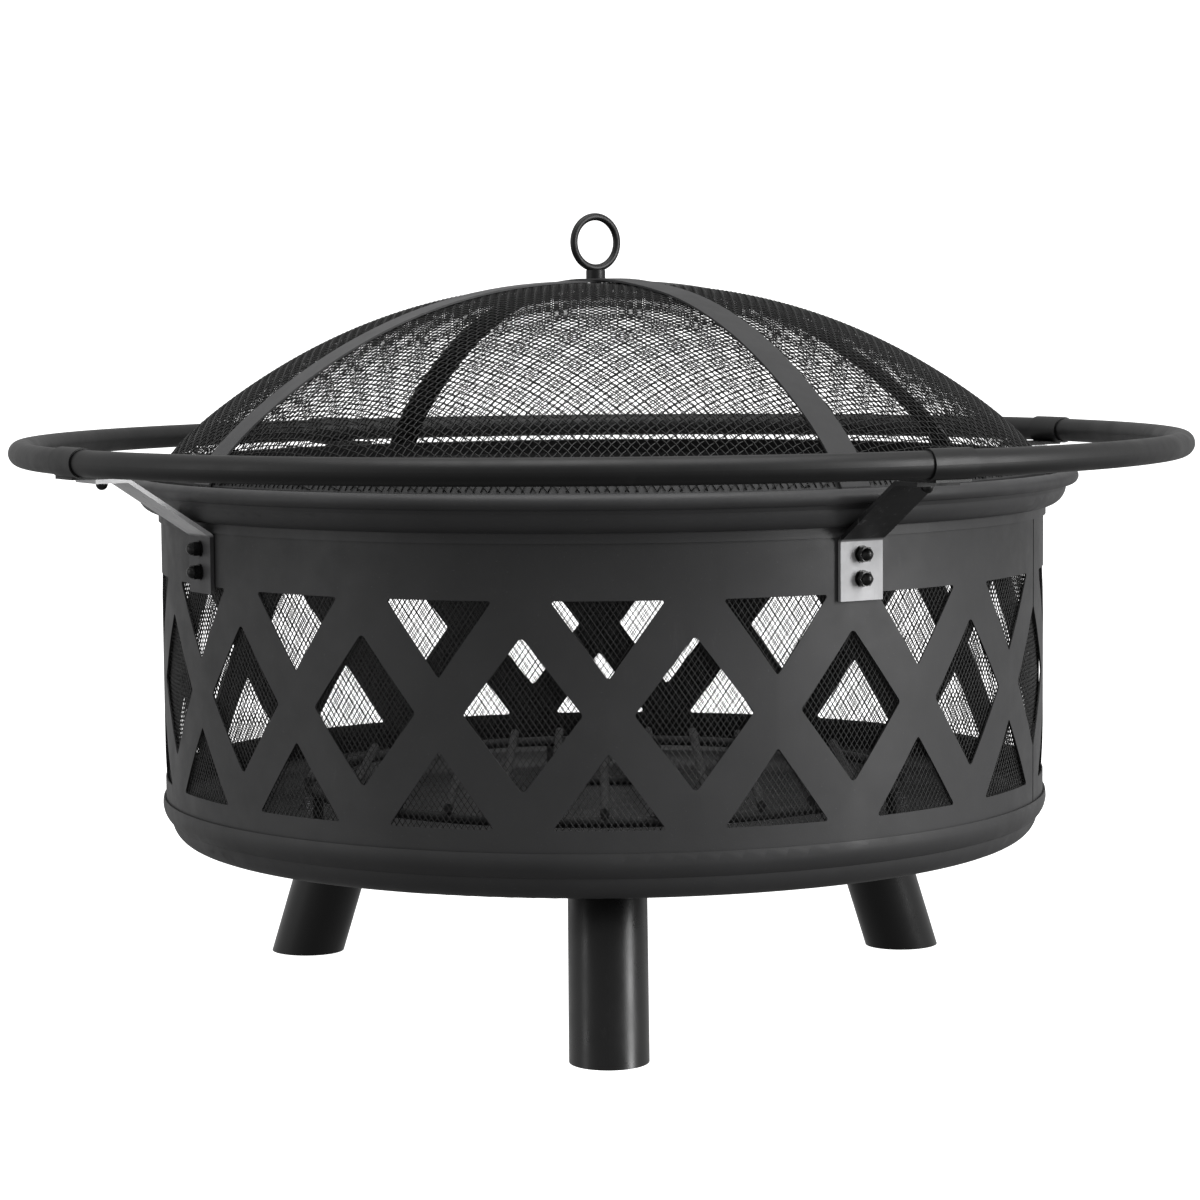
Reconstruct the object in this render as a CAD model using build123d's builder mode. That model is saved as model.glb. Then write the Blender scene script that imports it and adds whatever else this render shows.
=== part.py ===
from build123d import *
import math
import os

os.makedirs("parts", exist_ok=True)

# Lengths in mm and angles in degrees. Z is up, the floor is z = 0 and the pit's axis is x = y = 0.
# Directions round the pit are counted from the front (-Y), positive towards +X.

# ---- overall sizes ----
ring_outer_diameter = 914.4
ring_tube_diameter = 19.05
hand_gap = 68.65
lip_reach = 26.8
floor_pan_height = 122.5
wall_height = 274.0
ring_lift = 28.5
dome_rise = 154.2

ring_radius = ring_outer_diameter / 2 - ring_tube_diameter / 2
body_radius = ring_outer_diameter / 2 - ring_tube_diameter - hand_gap - lip_reach
rim_ledge_height = floor_pan_height + wall_height
ring_height = rim_ledge_height + ring_lift
dome_top_height = rim_ledge_height + dome_rise

# ---- sheet, wire and clearances ----
panel_sheet = 1.2
rim_sheet = 1.5
pan_sheet = 1.5
liner_sheet = 1.0
dome_sheet = 1.2
strap_sheet = 1.5
lap_clearance = 0.1
fit_clearance = 0.3
contact_gap = 0.1
bolt_clearance = 0.15

# ---- diamond lattice of the body, between an upper and a lower plain band ----
lattice_count = 18
lattice_pitch = 360 / lattice_count
lattice_offset = 0.52
upper_band = 65.0
lower_band = 50.5
diamond_half_angle = 7.06
diamond_upper_inset = 24.4
diamond_lower_inset = 25.1
triangle_half_angle = 6.62
upper_tip_distance = 24.75
lower_tip_distance = 25.45
cutout_corner_radius = 3.0
cutout_tip_radius = 1.5
upper_triangle_base = rim_ledge_height - upper_band
lower_triangle_base = floor_pan_height + lower_band
lattice_middle = (upper_triangle_base + lower_triangle_base) / 2
upper_triangle_tip = lattice_middle + upper_tip_distance
lower_triangle_tip = lattice_middle - lower_tip_distance
diamond_top = upper_triangle_base - diamond_upper_inset
diamond_bottom = lower_triangle_base + diamond_lower_inset
diamond_half_width = body_radius * math.sin(math.radians(diamond_half_angle))
triangle_half_width = body_radius * math.sin(math.radians(triangle_half_angle))

# ---- body panels: two halves, each with a stepped tongue under its neighbour's edge ----
seam_angle = lattice_offset + 3.5 * lattice_pitch
seam_gap = 0.4
tongue_angle = 2.2
panel_bottom = floor_pan_height + 27.5
panel_top = rim_ledge_height - rim_sheet - fit_clearance

# ---- mesh liner behind the panels ----
tongue_inner_radius = body_radius - 2 * panel_sheet - lap_clearance
liner_outer_radius = tongue_inner_radius - fit_clearance
liner_inner_radius = liner_outer_radius - liner_sheet

# ---- rim ----
skirt_radius = body_radius + fit_clearance + rim_sheet
skirt_bottom = rim_ledge_height - 25.5
skirt_height = 7.0
skirt_step = 1.6
ovolo_radius = body_radius + 17.2
lip_radius = body_radius + lip_reach
lip_top = rim_ledge_height + 9.3
ledge_outer_radius = body_radius + 12.3
collar_outer_radius = liner_inner_radius - fit_clearance
collar_inner_radius = collar_outer_radius - rim_sheet
collar_bottom = upper_triangle_base + 2.5

# ---- base pan ----
pan_floor_radius = body_radius - 22.6
pan_wall_radius = body_radius - 4.2
pan_bead_radius = body_radius + 2.2
pan_bead_bottom = floor_pan_height + 16.5
pan_bead_middle = floor_pan_height + 27.5
pan_bead_top = floor_pan_height + 35.0

# ---- bolts and screws ----
bolt_radius = 3.0
washer_radius = bolt_radius + 3.0
washer_sheet = 1.2
nut_across_flats = 2 * bolt_radius + 4.0
nut_height = 5.0
nut_bore_depth = 6.0
bolt_head_radius = bolt_radius + 3.5
bolt_head_height = 3.0
bolt_end = 6.5
ring_screw_head_radius = bolt_radius + 1.4
ring_screw_head_rim = 1.0

# ---- legs ----
leg_diameter = 57.15
leg_wall = 2.0
leg_splay = 19.6
leg_foot_inset = 56.7
leg_directions = {"front": 0.3, "right": 120.3, "left": -119.7}
leg_foot_sheet = 2.5
leg_flange_sheet = 3.0
leg_flange_border = 9.5
leg_bolt_inset = 3.425
leg_bolt_turns = [60, 180, 300]
leg_bolt_length = 14.0
leg_foot_radius = body_radius - leg_foot_inset
leg_top_radius = leg_foot_radius - floor_pan_height * math.tan(math.radians(leg_splay))
leg_bolt_circle = leg_diameter / 2 + bolt_head_radius + leg_bolt_inset
leg_flange_diameter = 2 * (leg_bolt_circle + leg_flange_border)

# ---- outer ring: its tubes join in bells, each with a lug below ----
tube_radius = ring_tube_diameter / 2
tube_wall = 1.2
bell_clearance = 0.2
bell_inner_radius = tube_radius + bell_clearance
bell_outer_radius = bell_inner_radius + tube_wall
bell_angle = 4.5
bell_shoulder_angle = 0.25
seam_front_left = -54.9
seam_front_right = 28.9
seam_back_right = 118.9
seam_back_left = 215.1
spigot_angle = 4.2
lug_top = ring_height - bell_inner_radius - 0.1
lug_sheet = 2.5
lug_width = 30.0
lug_inner_radius = ring_radius - 38.7
lug_outer_radius = ring_radius + 3.0
ring_screw_radius = ring_radius - 26.2

# ---- brackets between the wall and the ring's lugs ----
bracket_directions = {"front_left": -58.2, "front_right": 31.4, "back_right": 122.0, "back_left": 212.0}
bracket_width = 36.0
bracket_sheet = 3.0
bracket_plate_bottom = rim_ledge_height - 70.2
bracket_bend_height = skirt_bottom - 1.3
bracket_bend_radius = 4.0
bracket_bolt_heights = [rim_ledge_height - 54.8, rim_ledge_height - 37.7]
bracket_tab_top = lug_top - lug_sheet - contact_gap
bracket_tab_inner = ring_radius - 39.7
bracket_tab_outer = ring_radius - 13.7
ring_screw_length = bracket_sheet + lug_sheet + 3.0

# ---- log grate ----
grate_wall_gap = 110.7
grate_radius = body_radius - grate_wall_gap
grate_wire = 8.0
grate_bar = 7.0
grate_bar_spacing = 38.0
grate_foot_height = 34.0
grate_foot_width = 90.0
grate_foot_directions = [60, 180, 300]

# ---- dome: its edge stands a little outside the wall, on a hoop that rests on the rim ----
dome_overhang = 2.5
dome_edge_lift = 9.0
dome_shoulder_drop = 15.0
dome_shoulder_power = 28
dome_crown_power = 2.35
dome_edge_radius = body_radius + dome_overhang
dome_shape_radius = dome_edge_radius + 3.8
dome_edge_share = dome_edge_radius / dome_shape_radius
dome_edge_drop = dome_rise - dome_edge_lift - dome_shoulder_drop * dome_edge_share ** dome_shoulder_power
dome_crown_drop = dome_edge_drop / dome_edge_share ** dome_crown_power
hoop_sheet = 1.5
hoop_bottom = rim_ledge_height + 0.4
hoop_lean = 7.2
strap_width = 24.4
strap_a_direction = -57.0
strap_b_direction = 30.5
strap_gap = 0.15
rivet_radius = 2.0
rivet_head_radius = 4.0
rivet_height = hoop_bottom + 4.4

# ---- lifting ring on the dome, a little beside the middle ----
handle_offset = -3.3
handle_outer_radius = 22.7
handle_wire_radius = 2.9
handle_direction = strap_a_direction
handle_neck_radius = 7.5
handle_neck_height = 6.5
handle_sink = 1.3
handle_stud_radius = 4.0
handle_nut_across_flats = 13.0
handle_nut_height = 6.5
handle_washer_radius = 14.0
handle_washer_sheet = 1.6
handle_stud_length = 17.0


def heading(direction):
    """Location that turns +X to a direction counted from the front."""
    return Location((0, 0, 0), (0, 0, direction - 90))


def upright_plane(direction):
    """Vertical plane through the axis: sketch x is the radius, sketch y is the height."""
    turn = math.radians(direction - 90)
    outward = (math.cos(turn), math.sin(turn), 0)
    sideways = (math.sin(turn), -math.cos(turn), 0)
    return Plane(origin=(0, 0, 0), x_dir=outward, z_dir=sideways)


def facing_plane(direction):
    """Vertical plane facing outward: sketch x runs round the pit, sketch y is the height."""
    turn = math.radians(direction - 90)
    outward = (math.cos(turn), math.sin(turn), 0)
    sideways = (-math.sin(turn), math.cos(turn), 0)
    return Plane(origin=(0, 0, 0), x_dir=sideways, z_dir=outward)


def level_plane(direction):
    """Floor plane with its sketch x pointing outward in a direction."""
    turn = math.radians(direction - 90)
    return Plane(origin=(0, 0, 0), x_dir=(math.cos(turn), math.sin(turn), 0), z_dir=(0, 0, 1))


def pie_points(start, stop, reach):
    """Corners of a pie slice between two directions."""
    steps = max(1, math.ceil((stop - start) / 40))
    points = [(0, 0)]
    for step in range(steps + 1):
        turn = math.radians(start + (stop - start) * step / steps - 90)
        points.append((reach * math.cos(turn), reach * math.sin(turn)))
    return points


def dome_height(radius):
    """Height of the dome's outside at a radius: a flattened crown with a steeper shoulder."""
    share = radius / dome_shape_radius
    crown = dome_crown_drop * share ** dome_crown_power
    shoulder = dome_shoulder_drop * share ** dome_shoulder_power
    return dome_top_height - crown - shoulder


def dome_offset_point(radius, distance):
    """Point at a distance outside the dome's surface, measured square to it."""
    before = max(radius - 0.01, 0)
    after = radius + 0.01
    slope = (dome_height(after) - dome_height(before)) / (after - before)
    length = math.hypot(slope, 1)
    return (radius - slope / length * distance, dome_height(radius) + distance / length)


# Radii at which the dome's outline is sampled, closer together towards its steep edge.
crown_reach = dome_edge_radius - 225.2
crown_steps = max(1, round(crown_reach / 40))
dome_stations = [crown_reach * step / crown_steps for step in range(crown_steps)]
for edge_inset in (225.2, 185.2, 145.2, 110.2, 80.2, 55.2, 35.2, 20.2, 10.2, 4.2, 0.6):
    if dome_edge_radius - edge_inset > 50:
        dome_stations.append(dome_edge_radius - edge_inset)

# ---- cutter for the lattice, shared by both panels ----
with BuildPart() as lattice_cutter:
    for index in range(lattice_count):
        triangle_direction = lattice_offset + index * lattice_pitch
        diamond_direction = triangle_direction + lattice_pitch / 2
        diamond_middle = (diamond_top + diamond_bottom) / 2
        with BuildSketch(facing_plane(diamond_direction)) as diamond_sketch:
            Polygon(
                (0, diamond_bottom),
                (diamond_half_width, diamond_middle),
                (0, diamond_top),
                (-diamond_half_width, diamond_middle),
                align=None,
            )
            fillet(diamond_sketch.vertices(), radius=cutout_corner_radius)
        extrude(amount=body_radius + 5)
        with BuildSketch(facing_plane(triangle_direction)) as triangle_sketch:
            Polygon(
                (0, upper_triangle_tip),
                (triangle_half_width, upper_triangle_base),
                (-triangle_half_width, upper_triangle_base),
                align=None,
            )
            Polygon(
                (0, lower_triangle_tip),
                (-triangle_half_width, lower_triangle_base),
                (triangle_half_width, lower_triangle_base),
                align=None,
            )
            fillet(triangle_sketch.vertices(), radius=cutout_tip_radius)
        extrude(amount=body_radius + 5)
    Cylinder(body_radius - 10, 2 * ring_height, mode=Mode.SUBTRACT)


def half_panel(start_direction, bolt_directions):
    """Half of the body wall with a stepped tongue past its far edge, cut by the lattice."""
    stop_direction = start_direction + 180
    tongue_outer = body_radius - panel_sheet - lap_clearance
    with BuildPart() as panel:
        with BuildSketch(Plane.XY.offset(panel_bottom)):
            Circle(body_radius)
            Circle(body_radius - panel_sheet, mode=Mode.SUBTRACT)
            Polygon(
                *pie_points(start_direction + seam_gap / 2, stop_direction - seam_gap / 2, 2 * body_radius),
                align=None,
                mode=Mode.INTERSECT,
            )
        extrude(amount=panel_top - panel_bottom)
        with BuildSketch(Plane.XY.offset(panel_bottom)):
            Circle(tongue_outer)
            Circle(tongue_inner_radius, mode=Mode.SUBTRACT)
            Polygon(
                *pie_points(stop_direction - 0.3, stop_direction + tongue_angle, 2 * body_radius),
                align=None,
                mode=Mode.INTERSECT,
            )
        extrude(amount=panel_top - panel_bottom)
        with BuildSketch(Plane.XY.offset(panel_bottom)):
            Circle(body_radius)
            Circle(tongue_inner_radius, mode=Mode.SUBTRACT)
            Polygon(
                *pie_points(stop_direction - 0.3, stop_direction - seam_gap / 2, 2 * body_radius),
                align=None,
                mode=Mode.INTERSECT,
            )
        extrude(amount=panel_top - panel_bottom)
        add(lattice_cutter.part, mode=Mode.SUBTRACT)
        for direction in bolt_directions:
            for height in bracket_bolt_heights:
                with Locations(heading(direction)):
                    with Locations((body_radius, 0, height)):
                        Cylinder(bolt_radius + bolt_clearance, 20, rotation=(0, 90, 0), mode=Mode.SUBTRACT)
    return panel.part


front_left, front_right, back_right, back_left = bracket_directions.values()
front_panel = half_panel(seam_angle - 180, [front_left, front_right])
front_panel.label = "front_panel"
export_step(front_panel, "parts/front_panel.step")

back_panel = half_panel(seam_angle, [back_right, back_left])
back_panel.label = "back_panel"
export_step(back_panel, "parts/back_panel.step")

with BuildPart() as mesh_liner:
    with BuildSketch(Plane.XY.offset(panel_bottom)):
        Circle(liner_outer_radius)
        Circle(liner_inner_radius, mode=Mode.SUBTRACT)
    extrude(amount=panel_top - panel_bottom)
    for direction in bracket_directions.values():
        for height in bracket_bolt_heights:
            with Locations(heading(direction)):
                with Locations((body_radius, 0, height)):
                    Cylinder(bolt_radius + bolt_clearance, 20, rotation=(0, 90, 0), mode=Mode.SUBTRACT)
mesh_liner.part.label = "mesh_liner"
export_step(mesh_liner.part, "parts/mesh_liner.step")

with BuildPart() as top_rim:
    with BuildSketch(Plane.XZ):
        with BuildLine():
            skirt_top = skirt_bottom + skirt_height
            ovolo_foot = skirt_radius + skirt_step
            ovolo_top = rim_ledge_height - 5.0
            ovolo_width = ovolo_radius - ovolo_foot
            ovolo_height = ovolo_top - skirt_top
            step_corner = (ovolo_radius + 1.5, ovolo_top + 3.5)
            roll_crest = (lip_radius - 6.2, lip_top)
            Polyline((skirt_radius, skirt_bottom), (skirt_radius, skirt_top), (ovolo_foot, skirt_top))
            ThreePointArc(
                (ovolo_foot, skirt_top),
                (ovolo_foot + 0.72 * ovolo_width, skirt_top + 0.36 * ovolo_height),
                (ovolo_radius, ovolo_top),
            )
            Line((ovolo_radius, ovolo_top), step_corner)
            ThreePointArc(step_corner, (lip_radius, rim_ledge_height + 3.8), roll_crest)
            ThreePointArc(
                roll_crest,
                (ledge_outer_radius + 2.3, rim_ledge_height + 7.0),
                (ledge_outer_radius, rim_ledge_height),
            )
            Line((ledge_outer_radius, rim_ledge_height), (collar_inner_radius, rim_ledge_height))
            Line((collar_inner_radius, rim_ledge_height), (collar_inner_radius, collar_bottom))
            offset(amount=rim_sheet, side=Side.RIGHT)
        make_face()
    revolve(axis=Axis.Z)
    for direction in bracket_directions.values():
        for height in bracket_bolt_heights:
            with Locations(heading(direction)):
                with Locations((collar_outer_radius, 0, height)):
                    Cylinder(bolt_radius + bolt_clearance, 6, rotation=(0, 90, 0), mode=Mode.SUBTRACT)
top_rim.part.label = "top_rim"
export_step(top_rim.part, "parts/top_rim.step")

with BuildPart() as base_pan:
    with BuildSketch(Plane.XZ):
        with BuildLine():
            corner_middle = (pan_wall_radius - 4.6, floor_pan_height + 6.4)
            Line((0, floor_pan_height), (pan_floor_radius, floor_pan_height))
            ThreePointArc(
                (pan_floor_radius, floor_pan_height), corner_middle, (pan_wall_radius, pan_bead_bottom)
            )
            ThreePointArc(
                (pan_wall_radius, pan_bead_bottom),
                (pan_bead_radius, pan_bead_middle),
                (body_radius + fit_clearance + pan_sheet, pan_bead_top),
            )
            offset(amount=pan_sheet, side=Side.LEFT)
        make_face()
    revolve(axis=Axis.Z)
    for direction in leg_directions.values():
        with Locations(heading(direction)):
            with Locations((leg_top_radius, 0, floor_pan_height)):
                for turn in leg_bolt_turns:
                    with Locations(Location((0, 0, 0), (0, 0, turn))):
                        with Locations((leg_bolt_circle, 0, 0)):
                            Cylinder(bolt_radius + bolt_clearance, 10, mode=Mode.SUBTRACT)
base_pan.part.label = "base_pan"
export_step(base_pan.part, "parts/base_pan.step")


def leg_axis_plane(direction):
    """Plane across a leg's tube at the pan, with its normal pointing down the leg."""
    turn = math.radians(direction - 90)
    splay = math.radians(leg_splay)
    down = (
        math.sin(splay) * math.cos(turn),
        math.sin(splay) * math.sin(turn),
        -math.cos(splay),
    )
    top = (leg_top_radius * math.cos(turn), leg_top_radius * math.sin(turn), floor_pan_height)
    return Plane(origin=top, z_dir=down)


leg_flange_top = floor_pan_height - contact_gap
leg_flange_bottom = leg_flange_top - leg_flange_sheet
leg_length = floor_pan_height / math.cos(math.radians(leg_splay))
leg_bore_radius = leg_diameter / 2 - leg_wall

for side, direction in leg_directions.items():
    with BuildPart() as leg:
        with BuildSketch(leg_axis_plane(direction).offset(-40)):
            Circle(leg_diameter / 2)
            Circle(leg_bore_radius, mode=Mode.SUBTRACT)
        extrude(amount=leg_length + 80)
        with Locations((0, 0, leg_flange_bottom)):
            Box(2000, 2000, 400, align=(Align.CENTER, Align.CENTER, Align.MIN), mode=Mode.SUBTRACT)
        Box(2000, 2000, 400, align=(Align.CENTER, Align.CENTER, Align.MAX), mode=Mode.SUBTRACT)
        with BuildSketch(level_plane(direction)):
            with Locations((leg_foot_radius - 0.4, 0)):
                Ellipse((leg_bore_radius + 1) / math.cos(math.radians(leg_splay)), leg_bore_radius + 1)
        extrude(amount=leg_foot_sheet)
        with Locations(heading(direction)):
            with Locations((leg_top_radius, 0, leg_flange_bottom)):
                Cylinder(
                    leg_flange_diameter / 2,
                    leg_flange_sheet,
                    align=(Align.CENTER, Align.CENTER, Align.MIN),
                )
                for turn in leg_bolt_turns:
                    with Locations(Location((0, 0, 0), (0, 0, turn))):
                        with Locations((leg_bolt_circle, 0, 0)):
                            Cylinder(bolt_radius + bolt_clearance, 20, mode=Mode.SUBTRACT)
    leg.part.label = "leg_" + side
    export_step(leg.part, "parts/leg_" + side + ".step")

with BuildPart() as leg_bolts:
    for direction in leg_directions.values():
        with Locations(heading(direction)):
            with Locations((leg_top_radius, 0, leg_flange_bottom)):
                for turn in leg_bolt_turns:
                    with Locations(Location((0, 0, 0), (0, 0, turn))):
                        with Locations((leg_bolt_circle, 0, 0)):
                            Cylinder(
                                bolt_head_radius,
                                bolt_head_height,
                                align=(Align.CENTER, Align.CENTER, Align.MAX),
                            )
                            Cylinder(
                                bolt_radius,
                                leg_bolt_length,
                                align=(Align.CENTER, Align.CENTER, Align.MIN),
                            )
leg_bolts.part.label = "leg_bolts"
export_step(leg_bolts.part, "parts/leg_bolts.step")

with BuildPart() as leg_nuts:
    for direction in leg_directions.values():
        for turn in leg_bolt_turns:
            with BuildSketch(Plane.XY.offset(floor_pan_height + pan_sheet + contact_gap)):
                with Locations(heading(direction)):
                    with Locations((leg_top_radius, 0)):
                        with Locations(Location((0, 0, 0), (0, 0, turn))):
                            with Locations((leg_bolt_circle, 0)):
                                RegularPolygon(nut_across_flats / 2, 6, major_radius=False)
                                Circle(bolt_radius + 0.05, mode=Mode.SUBTRACT)
            extrude(amount=nut_height)
leg_nuts.part.label = "leg_nuts"
export_step(leg_nuts.part, "parts/leg_nuts.step")

# ---- brackets that carry the outer ring ----
plate_inner = body_radius + 0.15
for place, direction in bracket_directions.items():
    with BuildPart() as bracket:
        with BuildSketch(upright_plane(direction)):
            with BuildLine():
                FilletPolyline(
                    (plate_inner, bracket_plate_bottom),
                    (plate_inner, bracket_bend_height),
                    (bracket_tab_inner, bracket_tab_top),
                    (bracket_tab_outer, bracket_tab_top),
                    radius=bracket_bend_radius,
                )
                offset(amount=bracket_sheet, side=Side.RIGHT)
            make_face()
        extrude(amount=bracket_width / 2, both=True)
        with Locations(heading(direction)):
            for height in bracket_bolt_heights:
                with Locations((body_radius, 0, height)):
                    Cylinder(bolt_radius + bolt_clearance, 20, rotation=(0, 90, 0), mode=Mode.SUBTRACT)
            with Locations((ring_screw_radius, 0, bracket_tab_top)):
                Cylinder(bolt_radius + bolt_clearance, 12, mode=Mode.SUBTRACT)
    bracket.part.label = "bracket_" + place
    export_step(bracket.part, "parts/bracket_" + place + ".step")

plate_outer = plate_inner + bracket_sheet
with BuildPart() as bracket_bolts:
    for direction in bracket_directions.values():
        for height in bracket_bolt_heights:
            with Locations(heading(direction)):
                with Locations(Location((collar_inner_radius - contact_gap - 0.2, 0, height), (0, 90, 0))):
                    Cylinder(
                        bolt_head_radius,
                        bolt_head_height,
                        align=(Align.CENTER, Align.CENTER, Align.MAX),
                    )
                    Cylinder(
                        bolt_radius,
                        plate_outer - collar_inner_radius + bolt_end,
                        align=(Align.CENTER, Align.CENTER, Align.MIN),
                    )
bracket_bolts.part.label = "bracket_bolts"
export_step(bracket_bolts.part, "parts/bracket_bolts.step")

with BuildPart() as bracket_washers:
    for direction in bracket_directions.values():
        for height in bracket_bolt_heights:
            with Locations(heading(direction)):
                with Locations(Location((plate_outer + 0.05, 0, height), (0, 90, 0))):
                    Cylinder(washer_radius, washer_sheet, align=(Align.CENTER, Align.CENTER, Align.MIN))
                    Cylinder(bolt_radius + bolt_clearance, 10, mode=Mode.SUBTRACT)
bracket_washers.part.label = "bracket_washers"
export_step(bracket_washers.part, "parts/bracket_washers.step")

# A domed nut: a hexagon with a ball on it and a blind bore for the bolt.
with BuildPart() as bracket_nuts:
    for direction in bracket_directions.values():
        for height in bracket_bolt_heights:
            nut_face = plate_outer + 0.05 + washer_sheet + 0.05
            with BuildSketch(facing_plane(direction).offset(nut_face)):
                with Locations((0, height)):
                    RegularPolygon(nut_across_flats / 2, 6, major_radius=False)
            extrude(amount=nut_height)
            with Locations(heading(direction)):
                with Locations(Location((nut_face + nut_height - 0.5, 0, height), (0, 90, 0))):
                    Sphere(
                        nut_across_flats / 2 - 0.4,
                        arc_size1=0,
                        align=(Align.CENTER, Align.CENTER, Align.MIN),
                    )
                with Locations(Location((nut_face, 0, height), (0, 90, 0))):
                    Cylinder(
                        bolt_radius + 0.05,
                        nut_bore_depth,
                        align=(Align.CENTER, Align.CENTER, Align.MIN),
                        mode=Mode.SUBTRACT,
                    )
bracket_nuts.part.label = "bracket_nuts"
export_step(bracket_nuts.part, "parts/bracket_nuts.step")

# ---- outer ring: four tubes, each joint a plain end pushed into a belled end ----
# Each belled end carries a flat lug welded underneath, where the bracket is screwed on.
ring_parts = {
    "ring_tube_front": (seam_front_left, seam_front_right, None, None),
    "ring_tube_right": (seam_front_right, seam_back_right, front_right, None),
    "ring_tube_back": (seam_back_right, seam_back_left, back_right, back_left),
    "ring_tube_left": (seam_back_left, seam_front_left + 360, None, front_left),
}

for name, (start, stop, start_lug, stop_lug) in ring_parts.items():
    plain_start = start - spigot_angle if start_lug is None else start + bell_angle
    plain_stop = stop + spigot_angle if stop_lug is None else stop - bell_angle
    with BuildPart() as ring_tube:
        with BuildSketch(upright_plane(plain_start)):
            with Locations((ring_radius, ring_height)):
                Circle(tube_radius)
                Circle(tube_radius - tube_wall, mode=Mode.SUBTRACT)
        revolve(axis=Axis.Z, revolution_arc=plain_stop - plain_start)
        bells = []
        if start_lug is not None:
            bells.append((start, start + bell_angle - bell_shoulder_angle, start_lug))
        if stop_lug is not None:
            bells.append((stop - bell_angle, stop - bell_angle, stop_lug))
        for bell_start, shoulder_start, lug_direction in bells:
            with BuildSketch(upright_plane(bell_start)):
                with Locations((ring_radius, ring_height)):
                    Circle(bell_outer_radius)
                    Circle(bell_inner_radius, mode=Mode.SUBTRACT)
            revolve(axis=Axis.Z, revolution_arc=bell_angle)
            with BuildSketch(upright_plane(shoulder_start)):
                with Locations((ring_radius, ring_height)):
                    Circle(bell_outer_radius)
                    Circle(tube_radius - tube_wall, mode=Mode.SUBTRACT)
            revolve(axis=Axis.Z, revolution_arc=bell_shoulder_angle)
            with Locations(heading(lug_direction)):
                with Locations((lug_inner_radius, 0, lug_top)):
                    Box(
                        lug_outer_radius - lug_inner_radius,
                        lug_width,
                        lug_sheet,
                        align=(Align.MIN, Align.CENTER, Align.MAX),
                    )
                with Locations((ring_screw_radius, 0, lug_top)):
                    Cylinder(bolt_radius + bolt_clearance, 12, mode=Mode.SUBTRACT)
    ring_tube.part.label = name
    export_step(ring_tube.part, "parts/" + name + ".step")

# A round-headed screw from below: the head is a half ball under a short rim.
with BuildPart() as ring_screws:
    head_top = bracket_tab_top - bracket_sheet - contact_gap
    head_middle = head_top - ring_screw_head_rim
    sag = ring_screw_head_radius * math.sqrt(0.5)
    for direction in bracket_directions.values():
        with BuildSketch(upright_plane(direction)):
            with BuildLine():
                Polyline(
                    (ring_screw_radius, head_top + ring_screw_length),
                    (ring_screw_radius + bolt_radius, head_top + ring_screw_length),
                    (ring_screw_radius + bolt_radius, head_top),
                    (ring_screw_radius + ring_screw_head_radius, head_top),
                    (ring_screw_radius + ring_screw_head_radius, head_middle),
                )
                ThreePointArc(
                    (ring_screw_radius + ring_screw_head_radius, head_middle),
                    (ring_screw_radius + sag, head_middle - sag),
                    (ring_screw_radius, head_middle - ring_screw_head_radius),
                )
                Line(
                    (ring_screw_radius, head_middle - ring_screw_head_radius),
                    (ring_screw_radius, head_top + ring_screw_length),
                )
            make_face()
        turn = math.radians(direction - 90)
        screw_foot = (ring_screw_radius * math.cos(turn), ring_screw_radius * math.sin(turn), 0)
        revolve(axis=Axis(screw_foot, (0, 0, 1)))
ring_screws.part.label = "ring_screws"
export_step(ring_screws.part, "parts/ring_screws.step")

# ---- log grate: hoop, bars on top of it, feet under it ----
grate_floor = floor_pan_height + pan_sheet
hoop_middle = grate_floor + contact_gap + grate_foot_height + grate_wire / 2
with BuildPart() as grate_hoop:
    with BuildSketch(Plane.XZ):
        with Locations((grate_radius, hoop_middle)):
            Circle(grate_wire / 2)
    revolve(axis=Axis.Z)
grate_hoop.part.label = "grate_hoop"
export_step(grate_hoop.part, "parts/grate_hoop.step")

bar_middle = hoop_middle + grate_wire / 2 + grate_bar / 2 + 0.02
bar_count = 2 * int(grate_radius // grate_bar_spacing) + 1
with BuildPart() as grate_bars:
    for index in range(bar_count):
        across = (index - (bar_count - 1) / 2) * grate_bar_spacing
        half_length = math.sqrt((grate_radius + grate_wire / 2) ** 2 - across ** 2)
        with Locations((across, 0, bar_middle)):
            Cylinder(grate_bar / 2, 2 * half_length, rotation=(90, 0, 0))
grate_bars.part.label = "grate_bars"
export_step(grate_bars.part, "parts/grate_bars.step")

# Each foot is a wire bent to a U that stands on the pan, its ends under the hoop.
with BuildPart() as grate_feet:
    for direction in grate_foot_directions:
        foot_reach = math.sqrt(grate_radius ** 2 - (grate_foot_width / 2) ** 2)
        foot_bottom = grate_floor + contact_gap + grate_wire / 2
        with BuildLine(facing_plane(direction).offset(foot_reach)) as foot_path:
            FilletPolyline(
                (-grate_foot_width / 2, hoop_middle - grate_wire / 2 - 0.02),
                (-grate_foot_width / 2, foot_bottom),
                (grate_foot_width / 2, foot_bottom),
                (grate_foot_width / 2, hoop_middle - grate_wire / 2 - 0.02),
                radius=10,
            )
        with BuildSketch(Plane(origin=foot_path.line @ 0, z_dir=foot_path.line % 0)):
            Circle(grate_wire / 2)
        sweep(path=foot_path.line)
grate_feet.part.label = "grate_feet"
export_step(grate_feet.part, "parts/grate_feet.step")

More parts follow.
